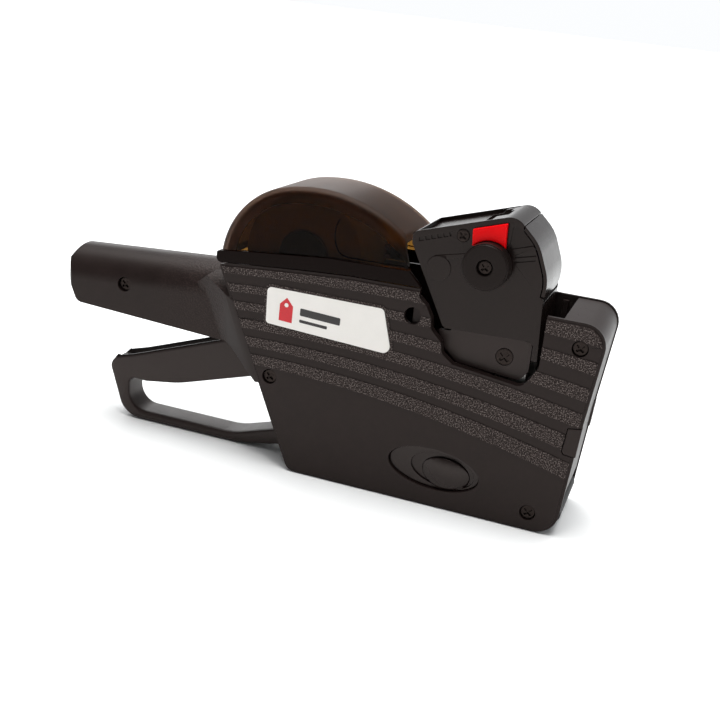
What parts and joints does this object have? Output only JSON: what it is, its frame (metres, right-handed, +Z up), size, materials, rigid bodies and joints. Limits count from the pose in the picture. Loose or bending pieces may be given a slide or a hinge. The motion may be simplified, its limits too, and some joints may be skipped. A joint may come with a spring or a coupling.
{
  "type": "price labelling gun",
  "caption": "Hand-held price labelling gun with squeeze lever, tilting print head, selector knob, domed label roll cover, label path and bottom door",
  "frame": {"origin": "on the casing's floor, at the lower rear of the side walls, midway between the two sides", "axes": "+X towards the nose, +Y towards the plain left side, +Z up; the gun stands on its casing's lower edge at Z 0"},
  "size_m": [0.2444, 0.0485, 0.1256],
  "materials": {
    "casing_plastic": "dark brown-grey moulded plastic, satin with grained bands",
    "screw_steel": "darkened steel screws",
    "cover_plastic": "dark plastic with a soft gloss",
    "steel": "plain steel",
    "lever_plastic": "dark satin plastic",
    "sticker": "satin sticker",
    "frame_plastic": "dark glossy plastic",
    "dome_plastic": "smoked translucent plastic",
    "inner_plastic": "black plastic",
    "label_paper": "paper labels on backing",
    "core_card": "plain card tube",
    "head_plastic": "near-black glossy plastic",
    "wheel_plastic": "off-white plastic",
    "ink_foam": "ink-soaked roller",
    "rubber": "black rubber",
    "red_plastic": "bright red plastic",
    "knob_plastic": "dark satin plastic"
  },
  "bodies": {
    "casing": {"right_casing": "casing_plastic", "left_casing": "casing_plastic", "casing_screws": "screw_steel", "front_cover": "cover_plastic", "door_hinge_pin": "steel", "nameplate": "sticker", "cover_hinge_pins": "steel", "roll_holders": "inner_plastic", "trigger_bushing": "steel", "trigger_spring": "steel", "head_pivot_screws": "screw_steel", "platen_bracket": "steel", "guide_pins": "steel", "feed_shaft": "steel", "peel_plate": "steel", "applicator_axle": "steel"},
    "trigger": {"trigger_lever": "lever_plastic", "trigger_link_pin": "steel"},
    "link": {"drive_link": "steel"},
    "print_head": {"head_yoke": "lever_plastic", "head_housing": "head_plastic", "head_screws": "screw_steel", "window_scale": "wheel_plastic", "ink_cover_pin": "steel", "ink_roller_axle": "steel", "type_wheels": "wheel_plastic", "type_bands": "rubber", "print_bar": "steel"},
    "ink_door": {"ink_cover": "head_plastic"},
    "ink_wheel": {"ink_roller": "ink_foam"},
    "selector": {"selector_shaft": "steel", "position_pointer": "red_plastic"},
    "knob": {"selector_knob": "knob_plastic", "knob_screw": "screw_steel"},
    "roll_cover": {"cover_frame": "frame_plastic", "cover_dome": "dome_plastic"},
    "roll": {"label_roll": "label_paper", "roll_core": "core_card"},
    "door": {"bottom_door": "casing_plastic"},
    "latch_right": {"right_latch_button": "lever_plastic"},
    "latch_left": {"left_latch_button": "lever_plastic"},
    "sprocket": {"feed_sprocket": "wheel_plastic"},
    "applicator": {"applicator_roller": "rubber"}
  },
  "joints": [
    {"name": "trigger_squeeze", "type": "hinge", "parent": "casing", "child": "trigger", "pos_m": [-0.0176, 0, 0.0412], "axis": [0, 1, 0], "range_deg": [0, 15], "stiffness_Nm_per_rad": 0.5, "springref_deg": -5.73},
    {"name": "link_pivot", "type": "hinge", "parent": "trigger", "child": "link", "pos_m": [-0.0056, 0, 0.0372], "axis": [0, -1, 0], "range_deg": [0, 17.08]},
    {"name": "head_nod", "type": "hinge", "parent": "casing", "child": "print_head", "pos_m": [0.0806, 0, 0.0696], "axis": [0, 1, 0], "range_deg": [0, 8]},
    {"name": "ink_door_hinge", "type": "hinge", "parent": "print_head", "child": "ink_door", "pos_m": [0.09115, 0, 0.0954], "axis": [0, 1, 0], "range_deg": [0, 70]},
    {"name": "ink_roller_spin", "type": "hinge", "parent": "print_head", "child": "ink_wheel", "pos_m": [0.0845, 0, 0.104], "axis": [0, 1, 0], "continuous": true},
    {"name": "selector_pull", "type": "slide", "parent": "print_head", "child": "selector", "axis": [0, -1, 0], "range_m": [0, 0.014]},
    {"name": "knob_turn", "type": "hinge", "parent": "selector", "child": "knob", "pos_m": [0.0691, -0.022, 0.106], "axis": [0, -1, 0], "continuous": true},
    {"name": "roll_cover_hinge", "type": "hinge", "parent": "casing", "child": "roll_cover", "pos_m": [-0.0442, 0, 0.0892], "axis": [0, -1, 0], "range_deg": [0, 85]},
    {"name": "label_roll_spin", "type": "hinge", "parent": "casing", "child": "roll", "pos_m": [-0.009, 0, 0.0955], "axis": [0, 1, 0], "continuous": true},
    {"name": "bottom_door_hinge", "type": "hinge", "parent": "casing", "child": "door", "pos_m": [0.013, 0, 0.0032], "axis": [0, 1, 0], "range_deg": [0, 60]},
    {"name": "right_latch_press", "type": "slide", "parent": "casing", "child": "latch_right", "axis": [0, 1, 0], "range_m": [0, 0.0015], "stiffness_N_per_m": 300, "springref_m": -0.001},
    {"name": "left_latch_press", "type": "slide", "parent": "casing", "child": "latch_left", "axis": [0, -1, 0], "range_m": [0, 0.0015], "stiffness_N_per_m": 300, "springref_m": -0.001},
    {"name": "feed_sprocket_spin", "type": "hinge", "parent": "casing", "child": "sprocket", "pos_m": [0.1025, 0, 0.04], "axis": [0, 1, 0], "continuous": true},
    {"name": "applicator_roller_spin", "type": "hinge", "parent": "casing", "child": "applicator", "pos_m": [0.1096, 0, 0.0086], "axis": [0, 1, 0], "continuous": true}
  ],
  "couplings": [
    {"joint": "link_pivot", "follows": "trigger_squeeze", "ratio": 1.1387},
    {"joint": "head_nod", "follows": "trigger_squeeze", "ratio": 0.53333}
  ]
}
